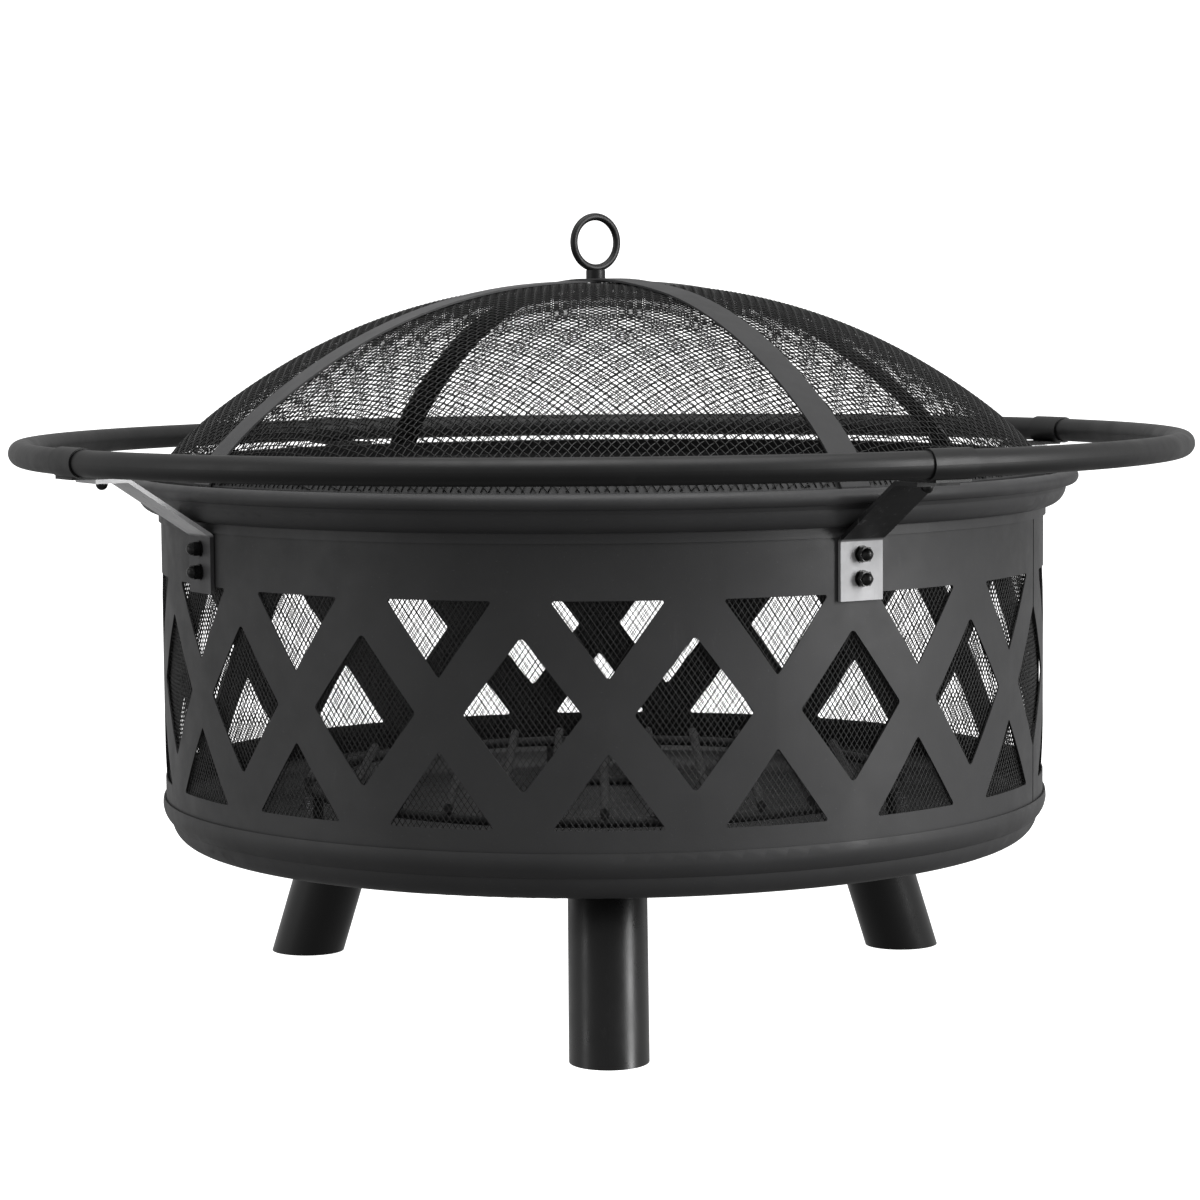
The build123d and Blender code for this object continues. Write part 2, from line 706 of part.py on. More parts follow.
# ---- dome ----
with BuildPart() as dome_mesh:
    with BuildSketch(Plane.XZ):
        with BuildLine():
            mesh_stations = dome_stations + [dome_edge_radius]
            outside = [(radius, dome_height(radius)) for radius in mesh_stations]
            inside = [dome_offset_point(radius, -dome_sheet) for radius in mesh_stations]
            inside[0] = (0, dome_top_height - dome_sheet)
            Spline(*outside)
            Line(outside[-1], inside[-1])
            Spline(*reversed(inside))
            Line(inside[0], outside[0])
        make_face()
    revolve(axis=Axis.Z)
    with Locations((handle_offset, 0, dome_top_height)):
        Cylinder(handle_stud_radius + bolt_clearance, 20, mode=Mode.SUBTRACT)
dome_mesh.part.label = "dome_mesh"
export_step(dome_mesh.part, "parts/dome_mesh.step")

# The hoop stands upright on the rim and leans in along the mesh's inside.
hoop_stations = [dome_edge_radius - hoop_lean * step / 4 for step in (4, 3, 2, 1, 0)]
hoop_depth = dome_sheet + lap_clearance
hoop_outside = [dome_offset_point(radius, -hoop_depth) for radius in hoop_stations]
hoop_inside = [dome_offset_point(radius, -hoop_depth - hoop_sheet) for radius in hoop_stations]
hoop_outer_radius = hoop_outside[-1][0]
hoop_inner_radius = hoop_outer_radius - hoop_sheet
with BuildPart() as dome_hoop:
    with BuildSketch(Plane.XZ):
        with BuildLine():
            Spline(*hoop_outside)
            Polyline(
                hoop_outside[-1],
                (hoop_outer_radius, hoop_bottom),
                (hoop_inner_radius, hoop_bottom),
                (hoop_inner_radius, hoop_inside[-1][1]),
            )
            Spline((hoop_inner_radius, hoop_inside[-1][1]), *reversed(hoop_inside[:-1]))
            Line(hoop_inside[0], hoop_outside[0])
        make_face()
    revolve(axis=Axis.Z)
    for direction in (strap_a_direction, strap_b_direction):
        for turn in (0, 180):
            with Locations(heading(direction + turn)):
                with Locations((hoop_outer_radius, 0, rivet_height)):
                    Cylinder(rivet_radius + bolt_clearance, 16, rotation=(0, 90, 0), mode=Mode.SUBTRACT)
dome_hoop.part.label = "dome_hoop"
export_step(dome_hoop.part, "parts/dome_hoop.step")


def strap_points(lift, thickness):
    """Half of a strap's side outline over the dome, lifted near the middle where it crosses."""
    points = []
    for radius in [0, 20, 45] + dome_stations[2:]:
        extra = lift * max(0, min(1, (75 - radius) / 50))
        points.append(dome_offset_point(radius, strap_gap + extra + thickness))
    points[0] = (0, dome_top_height + strap_gap + lift + thickness)
    return points


strap_face = dome_edge_radius + strap_gap + 0.1
strap_bend_height = dome_height(dome_edge_radius)


def dome_strap(direction, lift):
    """Flat strap bent over the whole dome, with its ends turned down outside the mesh's edge."""
    with BuildPart() as strap:
        for turn in (0, 180):
            under = strap_points(lift, 0)
            over = strap_points(lift, strap_sheet)
            with BuildSketch(upright_plane(direction + turn)):
                with BuildLine():
                    Spline(*under)
                    Polyline(
                        under[-1],
                        (strap_face, strap_bend_height),
                        (strap_face, hoop_bottom + 1.0),
                        (strap_face + strap_sheet, hoop_bottom + 1.0),
                        (strap_face + strap_sheet, strap_bend_height + 0.6),
                        over[-1],
                    )
                    Spline(*reversed(over))
                    Line(over[0], under[0])
                make_face()
            extrude(amount=strap_width / 2, both=True)
            with Locations(heading(direction + turn)):
                with Locations((strap_face, 0, rivet_height)):
                    Cylinder(rivet_radius + bolt_clearance, 16, rotation=(0, 90, 0), mode=Mode.SUBTRACT)
        with Locations((handle_offset, 0, dome_top_height)):
            Cylinder(handle_stud_radius + bolt_clearance, 20, mode=Mode.SUBTRACT)
    return strap.part


dome_strap_a = dome_strap(strap_a_direction, 0)
dome_strap_a.label = "dome_strap_a"
export_step(dome_strap_a, "parts/dome_strap_a.step")

dome_strap_b = dome_strap(strap_b_direction, strap_sheet + 0.1)
dome_strap_b.label = "dome_strap_b"
export_step(dome_strap_b, "parts/dome_strap_b.step")

rivet_seat = strap_face + strap_sheet + 0.05
with BuildPart() as dome_rivets:
    for direction in (strap_a_direction, strap_b_direction):
        for turn in (0, 180):
            with Locations(heading(direction + turn)):
                with Locations(Location((rivet_seat, 0, rivet_height), (0, 90, 0))):
                    Cylinder(rivet_head_radius, 1.4, align=(Align.CENTER, Align.CENTER, Align.MIN))
                    Cylinder(
                        rivet_radius,
                        rivet_seat - hoop_inner_radius + 1.6,
                        align=(Align.CENTER, Align.CENTER, Align.MAX),
                    )
dome_rivets.part.label = "dome_rivets"
export_step(dome_rivets.part, "parts/dome_rivets.step")

# ---- lifting ring: wire ring, round neck and threaded stud in one piece ----
neck_bottom = dome_top_height + strap_gap + 2 * strap_sheet + 0.1 + 0.1
ring_middle = neck_bottom + handle_neck_height - handle_sink + handle_outer_radius
with BuildPart() as handle_ring:
    with Locations((handle_offset, 0, neck_bottom)):
        Cylinder(handle_neck_radius, handle_neck_height, align=(Align.CENTER, Align.CENTER, Align.MIN))
        Cylinder(handle_stud_radius, handle_stud_length, align=(Align.CENTER, Align.CENTER, Align.MAX))
    with Locations((handle_offset, 0, ring_middle)):
        with Locations(Location((0, 0, 0), (0, 0, handle_direction - 90))):
            with Locations(Location((0, 0, 0), (90, 0, 0))):
                Torus(handle_outer_radius - handle_wire_radius, handle_wire_radius)
handle_ring.part.label = "handle_ring"
export_step(handle_ring.part, "parts/handle_ring.step")

washer_top = dome_top_height - dome_sheet - 0.4
with BuildPart() as handle_washer:
    with Locations((handle_offset, 0, washer_top)):
        Cylinder(handle_washer_radius, handle_washer_sheet, align=(Align.CENTER, Align.CENTER, Align.MAX))
        Cylinder(handle_stud_radius + bolt_clearance, 10, mode=Mode.SUBTRACT)
handle_washer.part.label = "handle_washer"
export_step(handle_washer.part, "parts/handle_washer.step")

with BuildPart() as handle_nut:
    with BuildSketch(Plane.XY.offset(washer_top - handle_washer_sheet - 0.05 - handle_nut_height)):
        with Locations((handle_offset, 0)):
            RegularPolygon(handle_nut_across_flats / 2, 6, major_radius=False)
            Circle(handle_stud_radius + 0.05, mode=Mode.SUBTRACT)
    extrude(amount=handle_nut_height)
handle_nut.part.label = "handle_nut"
export_step(handle_nut.part, "parts/handle_nut.step")
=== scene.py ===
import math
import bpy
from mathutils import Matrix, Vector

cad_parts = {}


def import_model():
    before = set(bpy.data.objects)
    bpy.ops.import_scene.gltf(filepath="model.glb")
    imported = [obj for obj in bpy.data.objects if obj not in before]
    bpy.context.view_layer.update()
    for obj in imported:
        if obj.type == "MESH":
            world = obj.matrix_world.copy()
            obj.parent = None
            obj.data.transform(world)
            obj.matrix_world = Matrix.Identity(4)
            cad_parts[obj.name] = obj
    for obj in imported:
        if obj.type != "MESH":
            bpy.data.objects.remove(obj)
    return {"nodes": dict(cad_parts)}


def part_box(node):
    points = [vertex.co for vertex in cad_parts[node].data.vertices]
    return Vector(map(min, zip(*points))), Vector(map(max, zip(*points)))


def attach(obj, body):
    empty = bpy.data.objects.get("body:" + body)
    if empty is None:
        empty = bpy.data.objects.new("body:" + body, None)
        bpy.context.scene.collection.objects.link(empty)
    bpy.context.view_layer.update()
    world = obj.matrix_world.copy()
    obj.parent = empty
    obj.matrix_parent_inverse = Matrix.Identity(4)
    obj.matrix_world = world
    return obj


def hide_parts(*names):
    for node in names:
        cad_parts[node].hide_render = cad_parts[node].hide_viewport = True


bl_info = {
    "name": "Fire pit looks",
    "version": (1, 0, 0),
    "blender": (4, 5, 0),
    "location": "View3D > Sidebar > Fire pit",
    "description": "Wire mesh, paint finishes and studio for the lattice fire pit",
    "category": "Object",
}

import bpy
import numpy as np
from bpy.props import FloatProperty, FloatVectorProperty, IntProperty, PointerProperty
from bpy.types import Operator, Panel, PropertyGroup
from mathutils import Matrix, Vector

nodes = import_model()["nodes"]
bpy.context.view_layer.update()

# Lengths are in metres. Z is up, the front is towards -Y and the pit's axis is x = y = 0.
dome_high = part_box("dome_mesh")[1]
liner_low, liner_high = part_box("mesh_liner")
bracket_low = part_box("bracket_front_right")[0]

DOME_EDGE_MARGIN = 0.0006
LINER_MARGIN = 0.0005
LINER_STATIONS = 13
SHEET_MIDDLE_GAP = 0.0022
PLATE_HEIGHT = 0.0425
TONE_EDGE = 0.0012
# Edge width and darkening factor of the painted shade on the inside of the wall.
INNER_SHADE_EDGE = 0.0002
INNER_SHADE_FACTOR = 0.2
RUBBED_GREY = (0.22, 0.22, 0.22)
WHITE = (1.0, 1.0, 1.0, 1.0)
FLOOR_REACH = 30.0
SENSOR_WIDTH = 36.0


# ---------------------------------------------------------------- settings


class FIREPIT_PG_dome_wire(PropertyGroup):
    """Sizes of the woven dome."""

    pitch: FloatProperty(
        name="Wire pitch",
        description="Distance between neighbouring wires, seen from above",
        default=0.0048,
        unit="LENGTH",
        precision=4,
    )
    radius: FloatProperty(
        name="Wire radius",
        description="Half the wire's thickness",
        default=0.00045,
        unit="LENGTH",
        precision=5,
    )
    depth: FloatProperty(
        name="Depth of the weave",
        description="How far the middle of the weave lies under the dome's outside",
        default=0.0007,
        unit="LENGTH",
        precision=5,
    )
    turn: FloatProperty(
        name="Weave direction",
        description="Direction of the first set of wires, seen from above",
        default=math.radians(45),
        subtype="ANGLE",
    )
    shape_radius: FloatProperty(
        name="Shape radius",
        description="Radius at which the crown and shoulder drops are reached",
        default=0.349,
        unit="LENGTH",
    )
    crown_drop: FloatProperty(
        name="Crown drop",
        description="Fall of the flattened crown from the top to the shape radius",
        default=0.13766,
        unit="LENGTH",
        precision=5,
    )
    crown_power: FloatProperty(
        name="Crown power",
        description="How flat the crown is: a higher power is flatter in the middle",
        default=2.35,
    )
    shoulder_drop: FloatProperty(
        name="Shoulder drop",
        description="Extra fall of the steep edge next to the hoop",
        default=0.015,
        unit="LENGTH",
    )
    shoulder_power: FloatProperty(
        name="Shoulder power",
        description="How near the edge the steep part stays",
        default=28.0,
    )


class FIREPIT_PG_liner_wire(PropertyGroup):
    """Sizes of the liner's expanded mesh."""

    strands: IntProperty(
        name="Strands round the wall",
        description="Number of strands in each of the two crossing sets",
        default=476,
    )
    cell_height: FloatProperty(
        name="Cell height",
        description="Height of one diamond opening from tip to tip",
        default=0.0065,
        unit="LENGTH",
        precision=4,
    )
    radius: FloatProperty(
        name="Strand radius",
        description="Half the strand's thickness",
        default=0.00035,
        unit="LENGTH",
        precision=5,
    )


class FIREPIT_PG_finish(PropertyGroup):
    """Colours of the paints and metals."""

    wall_paint: FloatVectorProperty(
        name="Wall paint",
        description="Satin charcoal paint of the wall, rim and pan",
        default=(0.038, 0.038, 0.039),
        subtype="COLOR",
        size=3,
    )
    tube_paint: FloatVectorProperty(
        name="Tube paint",
        description="Glossier black paint of the ring tubes and legs",
        default=(0.006, 0.006, 0.0062),
        subtype="COLOR",
        size=3,
    )
    wire_paint: FloatVectorProperty(
        name="Wire paint",
        description="Black paint of the woven and expanded mesh",
        default=(0.004, 0.004, 0.004),
        subtype="COLOR",
        size=3,
    )
    strap_paint: FloatVectorProperty(
        name="Strap paint",
        description="Lighter grey paint of the dome's straps",
        default=(0.042, 0.042, 0.043),
        subtype="COLOR",
        size=3,
    )
    # Bright grey that paints the reflection of the softbox and the white floor on the brackets.
    bracket_sheen_grey: FloatVectorProperty(
        name="Bracket sheen grey",
        description="Bare plated steel on the brackets",
        default=(0.52, 0.52, 0.53),
        subtype="COLOR",
        size=3,
    )


class FIREPIT_PG_stage(PropertyGroup):
    """Camera and light."""

    camera_distance: FloatProperty(
        name="Camera distance",
        description="Distance from the pit's axis to the camera, along the floor",
        default=2.6142,
        unit="LENGTH",
    )
    camera_height: FloatProperty(
        name="Camera height",
        description="Height of the camera above the floor",
        default=0.5294,
        unit="LENGTH",
    )
    camera_aside: FloatProperty(
        name="Camera aside",
        description="How far the camera stands to the side of the pit's axis",
        default=-0.0022,
        unit="LENGTH",
        precision=4,
    )
    camera_pitch: FloatProperty(
        name="Camera pitch",
        description="How far the camera looks down",
        default=math.radians(4.956),
        subtype="ANGLE",
    )
    camera_roll: FloatProperty(
        name="Camera roll",
        description="How far the camera leans to its right",
        default=math.radians(0.514),
        subtype="ANGLE",
    )
    lens: FloatProperty(
        name="Lens",
        description="Focal length on a sensor 36 mm wide",
        default=100.28,
        unit="CAMERA",
    )
    backdrop: FloatProperty(
        name="Backdrop strength",
        description="Strength of the plain white seen behind the pit",
        default=1.5,
    )
    sky: FloatProperty(
        name="Sky strength",
        description="Strength of the white room light from the back and the sides",
        default=0.55,
    )
    front_sky: FloatProperty(
        name="Front sky strength",
        description="Strength of the room light from the front, behind the camera",
        default=0.26,
    )
    ground: FloatProperty(
        name="Ground share",
        description="Share of the room light that comes back from below",
        default=0.3,
    )
    floor_glow: FloatProperty(
        name="Floor glow",
        description="Light given off by the lit floor",
        default=1.3,
    )
    right_light: FloatProperty(
        name="Right softbox power",
        description="Power of the tall softbox on the right",
        default=50.0,
        unit="POWER",
    )
    left_light: FloatProperty(
        name="Left softbox power",
        description="Power of the tall softbox on the left",
        default=6.0,
        unit="POWER",
    )
    top_light: FloatProperty(
        name="Top softbox power",
        description="Power of the large softbox overhead",
        default=30.0,
        unit="POWER",
    )


# ---------------------------------------------------------------- mesh work


def mesh_piece(name, points, faces, material, body, node):
    """Makes a smooth mesh piece from arrays of points and quads, tied to a body and a node."""
    used = np.unique(faces)
    place = np.zeros(len(points), dtype=np.int64)
    place[used] = np.arange(len(used))
    mesh = bpy.data.meshes.new(name)
    mesh.from_pydata(points[used].tolist(), [], place[faces].tolist())
    mesh.polygons.foreach_set("use_smooth", np.ones(len(mesh.polygons), dtype=bool))
    mesh.update()
    mesh.materials.append(material)
    piece = bpy.data.objects.new(name, mesh)
    bpy.context.scene.collection.objects.link(piece)
    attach(piece, body)
    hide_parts(node)
    return piece


def wire_tubes(path, normal, radius, first, last, sides=4):
    """Tubes round a bundle of wires.

    path and normal are arrays of shape (wires, stations, 3). The wire w runs from its station
    first[w] to its station last[w]. Each tube point is the path point plus radius times
    (cosine of the corner's angle times the normal plus sine times the side direction),
    and both ends are closed by a cap.
    """
    wires, stations = path.shape[:2]
    along = np.gradient(path, axis=1)
    along /= np.maximum(np.linalg.norm(along, axis=2, keepdims=True), 1e-12)
    side = np.cross(along, normal)
    side /= np.maximum(np.linalg.norm(side, axis=2, keepdims=True), 1e-12)
    lift = np.cross(side, along)
    corner = (np.arange(sides) + 0.5) * 2 * math.pi / sides
    outward = np.cos(corner)[:, None] * lift[:, :, None, :]
    sideways = np.sin(corner)[:, None] * side[:, :, None, :]
    points = path[:, :, None, :] + radius * (outward + sideways)
    number = np.arange(wires * stations * sides).reshape(wires, stations, sides)
    following = np.roll(number, -1, axis=2)
    station = np.arange(stations - 1)[None, :]
    kept = (station >= first[:, None]) & (station < last[:, None])
    walls = np.stack(
        [number[:, :-1], number[:, 1:], following[:, 1:], following[:, :-1]], axis=-1
    )[kept].reshape(-1, 4)
    wire = np.arange(wires)
    start_caps = number[wire, first]
    end_caps = number[wire, last][:, ::-1]
    return points.reshape(-1, 3), np.concatenate([walls, start_caps, end_caps])


def dome_surface(along, across, turn, shape):
    """Points and unit normals of the dome.

    The height is the top minus the crown drop times (r / shape radius) to the crown power,
    minus the shoulder drop times (r / shape radius) to the shoulder power.
    The normal is (-dz/dx, -dz/dy, 1), made one long.
    """
    x = along * math.cos(turn) - across * math.sin(turn)
    y = along * math.sin(turn) + across * math.cos(turn)
    radius = np.maximum(np.hypot(x, y), 1e-9)
    share = radius / shape.shape_radius
    crown = shape.crown_drop * share**shape.crown_power
    shoulder = shape.shoulder_drop * share**shape.shoulder_power
    slope = -(crown * shape.crown_power + shoulder * shape.shoulder_power) / radius
    height = dome_high.z - crown - shoulder
    point = np.stack([x, y, height], axis=-1)
    normal = np.stack([-slope * x / radius, -slope * y / radius, np.ones_like(x)], axis=-1)
    return point, normal / np.linalg.norm(normal, axis=-1, keepdims=True)


def dome_wires(shape, turn, phase):
    """One set of parallel wires, bent over and under the other set at each crossing.

    Wire i lies at i times the pitch to the side, and its stations at j times the pitch along it,
    cut off where the wire meets the hoop. A station is lifted or sunk by one wire radius as
    i + j + phase is even or odd.
    """
    edge = dome_high.x - DOME_EDGE_MARGIN
    reach = int(edge / shape.pitch)
    wire_index = np.arange(-reach, reach + 1)
    station_index = np.arange(-reach - 1, reach + 2)
    across = wire_index * shape.pitch
    half_length = np.sqrt(np.maximum(edge**2 - across**2, 0))
    along = np.clip(
        station_index[None, :] * shape.pitch, -half_length[:, None], half_length[:, None]
    )
    across = np.broadcast_to(across[:, None], along.shape)
    point, normal = dome_surface(along, across, turn, shape)
    weave = np.where((wire_index[:, None] + station_index[None, :] + phase) % 2 == 0, 1.0, -1.0)
    path = point + normal * (weave * shape.radius - shape.depth)[..., None]
    inside = np.abs(station_index[None, :] * shape.pitch) < half_length[:, None]
    first = np.maximum(inside.argmax(axis=1) - 1, 0)
    last = np.minimum(len(station_index) - inside[:, ::-1].argmax(axis=1), len(station_index) - 1)
    return wire_tubes(path, normal, shape.radius, first, last)


def liner_strands(shape, hand):
    """One set of strands of the liner.

    Each strand is a helix on the liner's cylinder: its angle grows with its height by one
    strand spacing per cell height, to the left or the right as hand is -1 or 1.
    """
    low = liner_low.z + LINER_MARGIN
    high = liner_high.z - LINER_MARGIN
    spacing = 2 * math.pi / shape.strands
    height = np.linspace(low, high, LINER_STATIONS)
    start = np.arange(shape.strands) * spacing
    angle = start[:, None] + hand * spacing * (height[None, :] - low) / shape.cell_height
    radius = liner_high.x - LINER_MARGIN
    normal = np.stack([np.cos(angle), np.sin(angle), np.zeros_like(angle)], axis=-1)
    level = np.broadcast_to(height[None, :], angle.shape)
    path = np.stack([radius * np.cos(angle), radius * np.sin(angle), level], axis=-1)
    first = np.zeros(shape.strands, dtype=np.int64)
    last = np.full(shape.strands, LINER_STATIONS - 1, dtype=np.int64)
    return wire_tubes(path, normal, shape.radius, first, last)


# ---------------------------------------------------------------- materials


class NodeDesk:
    """Short words for laying out a material's nodes."""

    def __init__(self, name):
        self.material = bpy.data.materials.new(name)
        self.material.use_nodes = True
        self.tree = self.material.node_tree
        self.shader = self.tree.nodes["Principled BSDF"]
        self.place = self.add("ShaderNodeTexCoord").outputs["Object"]

    def add(self, kind):
        """Adds a node of a kind."""
        return self.tree.nodes.new(kind)

    def join(self, source, target):
        """Links an output to an input."""
        self.tree.links.new(source, target)

    def noise(self, scale, detail=4.0, roughness=0.55, stretch=None):
        """Noise over the object, with an optional stretch of its axes."""
        source = self.place
        if stretch is not None:
            mapping = self.add("ShaderNodeMapping")
            mapping.inputs["Scale"].default_value = stretch
            self.join(source, mapping.inputs["Vector"])
            source = mapping.outputs["Vector"]
        texture = self.add("ShaderNodeTexNoise")
        texture.inputs["Scale"].default_value = scale
        texture.inputs["Detail"].default_value = detail
        texture.inputs["Roughness"].default_value = roughness
        self.join(source, texture.inputs["Vector"])
        return texture.outputs["Fac"]

    def span(self, value, low, high, new_low=0.0, new_high=1.0):
        """Moves a range of values onto another, held at its ends."""
        ranger = self.add("ShaderNodeMapRange")
        ranger.inputs["From Min"].default_value = low
        ranger.inputs["From Max"].default_value = high
        ranger.inputs["To Min"].default_value = new_low
        ranger.inputs["To Max"].default_value = new_high
        self.join(value, ranger.inputs["Value"])
        return ranger.outputs["Result"]

    def height(self, low, high):
        """0 below a height and 1 above another, from the object's own Z."""
        split = self.add("ShaderNodeSeparateXYZ")
        self.join(self.place, split.inputs["Vector"])
        return self.span(split.outputs["Z"], low, high)

    def reach(self, low, high):
        """0 within a distance of the pit's axis and 1 beyond another."""
        flat = self.add("ShaderNodeVectorMath")
        flat.operation = "MULTIPLY"
        flat.inputs[1].default_value = (1.0, 1.0, 0.0)
        self.join(self.place, flat.inputs[0])
        length = self.add("ShaderNodeVectorMath")
        length.operation = "LENGTH"
        self.join(flat.outputs["Vector"], length.inputs[0])
        return self.span(length.outputs["Value"], low, high)

    def blend(self, amount, first, second):
        """Mixes two colours by an amount. Each is a colour or an output."""
        mixer = self.add("ShaderNodeMix")
        mixer.data_type = "RGBA"
        for socket, colour in ((mixer.inputs[6], first), (mixer.inputs[7], second)):
            if isinstance(colour, bpy.types.NodeSocket):
                self.join(colour, socket)
            else:
                socket.default_value = (*colour, 1.0)
        self.join(amount, mixer.inputs[0])
        return mixer.outputs[2]

    def times(self, first, second):
        """Product of two values."""
        product = self.add("ShaderNodeMath")
        product.operation = "MULTIPLY"
        self.join(first, product.inputs[0])
        self.join(second, product.inputs[1])
        return product.outputs[0]

    def colour(self, output):
        """Colour of the shader."""
        self.join(output, self.shader.inputs["Base Color"])

    def rough(self, output):
        """Roughness of the shader."""
        self.join(output, self.shader.inputs["Roughness"])

    def bump(self, height, distance, strength):
        """Fine relief from a height."""
        node = self.add("ShaderNodeBump")
        node.inputs["Distance"].default_value = distance
        node.inputs["Strength"].default_value = strength
        self.join(height, node.inputs["Height"])
        self.join(node.outputs["Normal"], self.shader.inputs["Normal"])


def shade(colour, factor):
    """A colour made darker or lighter by a factor."""
    return tuple(min(1.0, channel * factor) for channel in colour)


def paint(name, colour, rough_low, rough_high, worn=0.12, peel=0.25, inner_shade_radius=None):
    """Oven-cured paint: slow cloudy tone, fine orange peel, specks of dust and thin rub marks.

    Where a shade radius is given, the paint is darkened within that distance of the pit's axis:
    painted shade on the inside of the wall.
    """
    desk = NodeDesk(name)
    cloud_noise = desk.noise(scale=7.0, detail=5.0, roughness=0.6)
    clouds = desk.span(cloud_noise, 0.32, 0.68)
    base = desk.blend(clouds, shade(colour, 0.84), shade(colour, 1.18))
    dust_noise = desk.noise(scale=620.0, detail=2.0, roughness=0.5)
    dust = desk.span(dust_noise, 0.70, 0.76, new_high=0.35)
    base = desk.blend(dust, base, shade(colour, 2.6))
    patch_noise = desk.noise(scale=11.0, detail=3.0, roughness=0.6)
    patches = desk.span(patch_noise, 0.52, 0.72)
    streak_noise = desk.noise(scale=60.0, detail=7.0, roughness=0.7, stretch=(1.0, 1.0, 0.22))
    streaks = desk.span(streak_noise, 0.60, 0.70, new_high=worn)
    base = desk.blend(desk.times(patches, streaks), base, RUBBED_GREY)
    # Painted shade: the paint is darkened inside the given radius, as if in the shade of the pit.
    if inner_shade_radius is not None:
        unshaded_mask = desk.reach(inner_shade_radius - INNER_SHADE_EDGE, inner_shade_radius + INNER_SHADE_EDGE)
        base = desk.blend(unshaded_mask, shade(colour, INNER_SHADE_FACTOR), base)
    desk.colour(base)
    gloss_noise = desk.noise(scale=38.0, detail=5.0, roughness=0.6)
    desk.rough(desk.span(gloss_noise, 0.3, 0.7, rough_low, rough_high))
    peel_noise = desk.noise(scale=1100.0, detail=2.0, roughness=0.5)
    desk.bump(peel_noise, distance=0.0002, strength=peel)
    return desk.material


def sheen_painted_strap(name, upper, lower, metal=0.2):
    """Bent bracket with a painted reflection: arm and plate differ, one painted bright and one
    dark, and the tone changes at the bend above the plate.
    """
    desk = NodeDesk(name)
    bend = bracket_low.z + PLATE_HEIGHT
    above = desk.height(bend - TONE_EDGE, bend + TONE_EDGE)
    cloud_noise = desk.noise(scale=30.0, detail=5.0, roughness=0.6)
    clouds = desk.span(cloud_noise, 0.3, 0.7)
    scratch_noise = desk.noise(scale=160.0, detail=6.0, roughness=0.7, stretch=(1.0, 1.0, 0.15))
    scratches = desk.span(scratch_noise, 0.60, 0.72, new_high=0.4)
    low_tone = desk.blend(clouds, shade(lower, 0.85), shade(lower, 1.12))
    high_tone = desk.blend(clouds, shade(upper, 0.85), shade(upper, 1.12))
    tone = desk.blend(above, low_tone, high_tone)
    desk.colour(desk.blend(scratches, tone, shade(lower, 0.6)))
    gloss_noise = desk.noise(scale=70.0, detail=5.0, roughness=0.6)
    desk.rough(desk.span(gloss_noise, 0.3, 0.7, new_low=0.45, new_high=0.6))
    relief_noise = desk.noise(scale=900.0, detail=3.0, roughness=0.5)
    desk.bump(relief_noise, distance=0.0002, strength=0.25)
    desk.shader.inputs["Metallic"].default_value = metal
    return desk.material


def plated_steel(name, colour, rough_low, rough_high):
    """Plated or blackened fastener steel: cloudy tone, fine relief and uneven gloss."""
    desk = NodeDesk(name)
    cloud_noise = desk.noise(scale=180.0, detail=4.0, roughness=0.6)
    clouds = desk.span(cloud_noise, 0.3, 0.7)
    desk.colour(desk.blend(clouds, shade(colour, 0.75), shade(colour, 1.25)))
    gloss_noise = desk.noise(scale=320.0, detail=4.0, roughness=0.6)
    desk.rough(desk.span(gloss_noise, 0.3, 0.7, rough_low, rough_high))
    relief_noise = desk.noise(scale=1500.0, detail=2.0, roughness=0.5)
    desk.bump(relief_noise, distance=0.0001, strength=0.3)
    desk.shader.inputs["Metallic"].default_value = 1.0
    return desk.material


def finish_nodes(names, material):
    """Puts one material on CAD nodes."""
    for name in names:
        slots = nodes[name].material_slots
        if not slots:
            nodes[name].data.materials.append(material)
        for slot in nodes[name].material_slots:
            slot.link = "OBJECT"
            slot.material = material


# ---------------------------------------------------------------- operators


